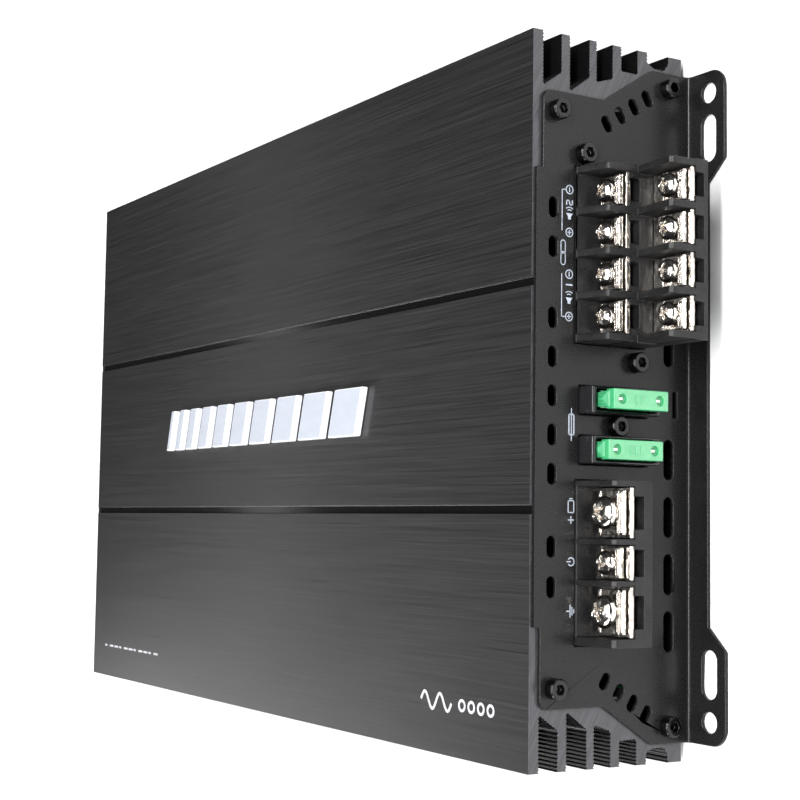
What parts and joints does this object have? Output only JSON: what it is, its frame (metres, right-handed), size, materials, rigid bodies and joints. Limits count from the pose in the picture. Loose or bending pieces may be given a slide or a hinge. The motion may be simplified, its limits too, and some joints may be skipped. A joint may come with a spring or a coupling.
{
  "type": "car amplifier",
  "caption": "Finned black car amplifier with screw terminal blocks, blade fuses, knobs and input jacks on its end plates, and slotted mounting flanges.",
  "frame": {"origin": "centre of the four round mounting holes, on the mounting plane under the flanges", "axes": "+Z through the top face away from the mounting surface, +X along the length towards the speaker and supply terminals, +Y across the width towards the speaker terminals' side"},
  "size_m": [0.3379, 0.19, 0.0556],
  "materials": {
    "black_anodised": "brushed black anodised, satin",
    "black_powder_coat": "fine-textured satin powder coat",
    "black_oxide_screws": "black oxide, slightly oily",
    "frosted_acrylic": "frosted, polished edges",
    "black_moulding": "matte, fine granular",
    "fuse_holder_plastic": "semi-gloss",
    "nickel_plate": "nickel plated, warm",
    "nickel_screws": "bright nickel plated",
    "green_fuse_plastic": "translucent green, satin",
    "board_laminate": "green solder mask",
    "zinc_screws": "zinc plated",
    "ferrite": "coated ferrite",
    "enamelled_copper": "enamelled copper wire",
    "capacitor_sleeve": "shrink sleeve",
    "component_black": "moulded epoxy",
    "grey_insulator": "silicone sheet",
    "steel_bar": "plain steel",
    "knob_plastic": "fine matte",
    "white_plastic": "satin",
    "lamp_lens": "clear lens"
  },
  "bodies": {
    "chassis": {"heatsink": "black_anodised", "bottom_cover": "black_powder_coat", "terminal_end_plate": "black_powder_coat", "control_end_plate": "black_powder_coat", "terminal_plate_screws": "black_oxide_screws", "control_plate_screws": "black_oxide_screws", "bottom_cover_screws": "black_oxide_screws", "emblem": "frosted_acrylic", "speaker_terminal_block": "black_moulding", "speaker_terminal_tabs": "nickel_plate", "power_terminal_block": "black_moulding", "power_terminal_tabs": "nickel_plate", "fuse_holder": "fuse_holder_plastic", "fuse_contacts": "nickel_plate", "circuit_board": "board_laminate", "board_screws": "zinc_screws", "transformer_cores": "ferrite", "transformer_windings": "enamelled_copper", "filter_capacitors": "capacitor_sleeve", "output_inductors": "enamelled_copper", "power_transistors": "component_black", "insulating_strips": "grey_insulator", "clamp_bars": "steel_bar", "clamp_bar_screws": "zinc_screws", "input_jack_block": "black_moulding", "jack_shells": "nickel_plate", "potentiometer_bodies": "component_black", "switch_housings": "component_black", "indicator_lamps": "lamp_lens", "level_input_socket": "white_plastic"},
    "speaker_clamp_1": {"speaker_clamp_1": "nickel_plate"},
    "speaker_screw_1": {"speaker_screw_1": "nickel_screws"},
    "speaker_clamp_2": {"speaker_clamp_2": "nickel_plate"},
    "speaker_screw_2": {"speaker_screw_2": "nickel_screws"},
    "speaker_clamp_3": {"speaker_clamp_3": "nickel_plate"},
    "speaker_screw_3": {"speaker_screw_3": "nickel_screws"},
    "speaker_clamp_4": {"speaker_clamp_4": "nickel_plate"},
    "speaker_screw_4": {"speaker_screw_4": "nickel_screws"},
    "speaker_clamp_5": {"speaker_clamp_5": "nickel_plate"},
    "speaker_screw_5": {"speaker_screw_5": "nickel_screws"},
    "speaker_clamp_6": {"speaker_clamp_6": "nickel_plate"},
    "speaker_screw_6": {"speaker_screw_6": "nickel_screws"},
    "speaker_clamp_7": {"speaker_clamp_7": "nickel_plate"},
    "speaker_screw_7": {"speaker_screw_7": "nickel_screws"},
    "speaker_clamp_8": {"speaker_clamp_8": "nickel_plate"},
    "speaker_screw_8": {"speaker_screw_8": "nickel_screws"},
    "power_clamp_1": {"power_clamp_1": "nickel_plate"},
    "power_screw_1": {"power_screw_1": "nickel_screws"},
    "power_clamp_2": {"power_clamp_2": "nickel_plate"},
    "power_screw_2": {"power_screw_2": "nickel_screws"},
    "power_clamp_3": {"power_clamp_3": "nickel_plate"},
    "power_screw_3": {"power_screw_3": "nickel_screws"},
    "fuse_1": {"fuse_1": "green_fuse_plastic"},
    "fuse_2": {"fuse_2": "green_fuse_plastic"},
    "knob_1": {"knob_1": "knob_plastic"},
    "knob_2": {"knob_2": "knob_plastic"},
    "knob_3": {"knob_3": "knob_plastic"},
    "knob_4": {"knob_4": "knob_plastic"},
    "switch_slider_1": {"switch_slider_1": "white_plastic"},
    "switch_slider_2": {"switch_slider_2": "white_plastic"}
  },
  "joints": [
    {"name": "speaker_clamp_1_lift", "type": "slide", "parent": "chassis", "child": "speaker_clamp_1", "axis": [0, 0, 1], "range_m": [-0.0003, 0.002]},
    {"name": "speaker_screw_1_turn", "type": "hinge", "parent": "speaker_clamp_1", "child": "speaker_screw_1", "pos_m": [0.1546, 0.0536, 0.03305], "axis": [0, 0, 1], "range_deg": [-218, 1442]},
    {"name": "speaker_clamp_2_lift", "type": "slide", "parent": "chassis", "child": "speaker_clamp_2", "axis": [0, 0, 1], "range_m": [-0.0003, 0.002]},
    {"name": "speaker_screw_2_turn", "type": "hinge", "parent": "speaker_clamp_2", "child": "speaker_screw_2", "pos_m": [0.1546, 0.0426, 0.03305], "axis": [0, 0, 1], "range_deg": [-218, 1442]},
    {"name": "speaker_clamp_3_lift", "type": "slide", "parent": "chassis", "child": "speaker_clamp_3", "axis": [0, 0, 1], "range_m": [-0.0003, 0.002]},
    {"name": "speaker_screw_3_turn", "type": "hinge", "parent": "speaker_clamp_3", "child": "speaker_screw_3", "pos_m": [0.1546, 0.0316, 0.03305], "axis": [0, 0, 1], "range_deg": [-218, 1442]},
    {"name": "speaker_clamp_4_lift", "type": "slide", "parent": "chassis", "child": "speaker_clamp_4", "axis": [0, 0, 1], "range_m": [-0.0003, 0.002]},
    {"name": "speaker_screw_4_turn", "type": "hinge", "parent": "speaker_clamp_4", "child": "speaker_screw_4", "pos_m": [0.1546, 0.0206, 0.03305], "axis": [0, 0, 1], "range_deg": [-218, 1442]},
    {"name": "speaker_clamp_5_lift", "type": "slide", "parent": "chassis", "child": "speaker_clamp_5", "axis": [0, 0, 1], "range_m": [-0.0003, 0.002]},
    {"name": "speaker_screw_5_turn", "type": "hinge", "parent": "speaker_clamp_5", "child": "speaker_screw_5", "pos_m": [0.1688, 0.0536, 0.02425], "axis": [0, 0, 1], "range_deg": [-218, 1442]},
    {"name": "speaker_clamp_6_lift", "type": "slide", "parent": "chassis", "child": "speaker_clamp_6", "axis": [0, 0, 1], "range_m": [-0.0003, 0.002]},
    {"name": "speaker_screw_6_turn", "type": "hinge", "parent": "speaker_clamp_6", "child": "speaker_screw_6", "pos_m": [0.1688, 0.0426, 0.02425], "axis": [0, 0, 1], "range_deg": [-218, 1442]},
    {"name": "speaker_clamp_7_lift", "type": "slide", "parent": "chassis", "child": "speaker_clamp_7", "axis": [0, 0, 1], "range_m": [-0.0003, 0.002]},
    {"name": "speaker_screw_7_turn", "type": "hinge", "parent": "speaker_clamp_7", "child": "speaker_screw_7", "pos_m": [0.1688, 0.0316, 0.02425], "axis": [0, 0, 1], "range_deg": [-218, 1442]},
    {"name": "speaker_clamp_8_lift", "type": "slide", "parent": "chassis", "child": "speaker_clamp_8", "axis": [0, 0, 1], "range_m": [-0.0003, 0.002]},
    {"name": "speaker_screw_8_turn", "type": "hinge", "parent": "speaker_clamp_8", "child": "speaker_screw_8", "pos_m": [0.1688, 0.0206, 0.02425], "axis": [0, 0, 1], "range_deg": [-218, 1442]},
    {"name": "power_clamp_1_lift", "type": "slide", "parent": "chassis", "child": "power_clamp_1", "axis": [0, 0, 1], "range_m": [-0.0003, 0.002]},
    {"name": "power_screw_1_turn", "type": "hinge", "parent": "power_clamp_1", "child": "power_screw_1", "pos_m": [0.1562, -0.02963, 0.03385], "axis": [0, 0, 1], "range_deg": [-156.3, 1030.6]},
    {"name": "power_clamp_2_lift", "type": "slide", "parent": "chassis", "child": "power_clamp_2", "axis": [0, 0, 1], "range_m": [-0.0003, 0.002]},
    {"name": "power_screw_2_turn", "type": "hinge", "parent": "power_clamp_2", "child": "power_screw_2", "pos_m": [0.1562, -0.04228, 0.03385], "axis": [0, 0, 1], "range_deg": [-218, 1442]},
    {"name": "power_clamp_3_lift", "type": "slide", "parent": "chassis", "child": "power_clamp_3", "axis": [0, 0, 1], "range_m": [-0.0003, 0.002]},
    {"name": "power_screw_3_turn", "type": "hinge", "parent": "power_clamp_3", "child": "power_screw_3", "pos_m": [0.1562, -0.0546, 0.03385], "axis": [0, 0, 1], "range_deg": [-156.3, 1030.6]},
    {"name": "fuse_1_pull", "type": "slide", "parent": "chassis", "child": "fuse_1", "axis": [1, 0, 0], "range_m": [-0.002, 0.02]},
    {"name": "fuse_2_pull", "type": "slide", "parent": "chassis", "child": "fuse_2", "axis": [1, 0, 0], "range_m": [0, 0.018]},
    {"name": "knob_1_turn", "type": "hinge", "parent": "chassis", "child": "knob_1", "pos_m": [-0.15, -0.031, 0.0328], "axis": [-1, 0, 0], "range_deg": [-150, 150]},
    {"name": "knob_2_turn", "type": "hinge", "parent": "chassis", "child": "knob_2", "pos_m": [-0.15, -0.018, 0.0328], "axis": [-1, 0, 0], "range_deg": [-150, 150]},
    {"name": "knob_3_turn", "type": "hinge", "parent": "chassis", "child": "knob_3", "pos_m": [-0.15, -0.005, 0.0328], "axis": [-1, 0, 0], "range_deg": [-150, 150]},
    {"name": "knob_4_turn", "type": "hinge", "parent": "chassis", "child": "knob_4", "pos_m": [-0.15, 0.008, 0.0328], "axis": [-1, 0, 0], "range_deg": [-150, 150]},
    {"name": "switch_slider_1_slide", "type": "slide", "parent": "chassis", "child": "switch_slider_1", "axis": [0, 1, 0], "range_m": [-0.002, 0.002]},
    {"name": "switch_slider_2_slide", "type": "slide", "parent": "chassis", "child": "switch_slider_2", "axis": [0, 1, 0], "range_m": [-0.002, 0.002]}
  ],
  "couplings": [
    {"joint": "speaker_screw_1_turn", "follows": "speaker_clamp_1_lift", "rad_per_m": 12566},
    {"joint": "speaker_screw_2_turn", "follows": "speaker_clamp_2_lift", "rad_per_m": 12566},
    {"joint": "speaker_screw_3_turn", "follows": "speaker_clamp_3_lift", "rad_per_m": 12566},
    {"joint": "speaker_screw_4_turn", "follows": "speaker_clamp_4_lift", "rad_per_m": 12566},
    {"joint": "speaker_screw_5_turn", "follows": "speaker_clamp_5_lift", "rad_per_m": 12566},
    {"joint": "speaker_screw_6_turn", "follows": "speaker_clamp_6_lift", "rad_per_m": 12566},
    {"joint": "speaker_screw_7_turn", "follows": "speaker_clamp_7_lift", "rad_per_m": 12566},
    {"joint": "speaker_screw_8_turn", "follows": "speaker_clamp_8_lift", "rad_per_m": 12566},
    {"joint": "power_screw_1_turn", "follows": "power_clamp_1_lift", "rad_per_m": 8976},
    {"joint": "power_screw_2_turn", "follows": "power_clamp_2_lift", "rad_per_m": 12566},
    {"joint": "power_screw_3_turn", "follows": "power_clamp_3_lift", "rad_per_m": 8976}
  ]
}
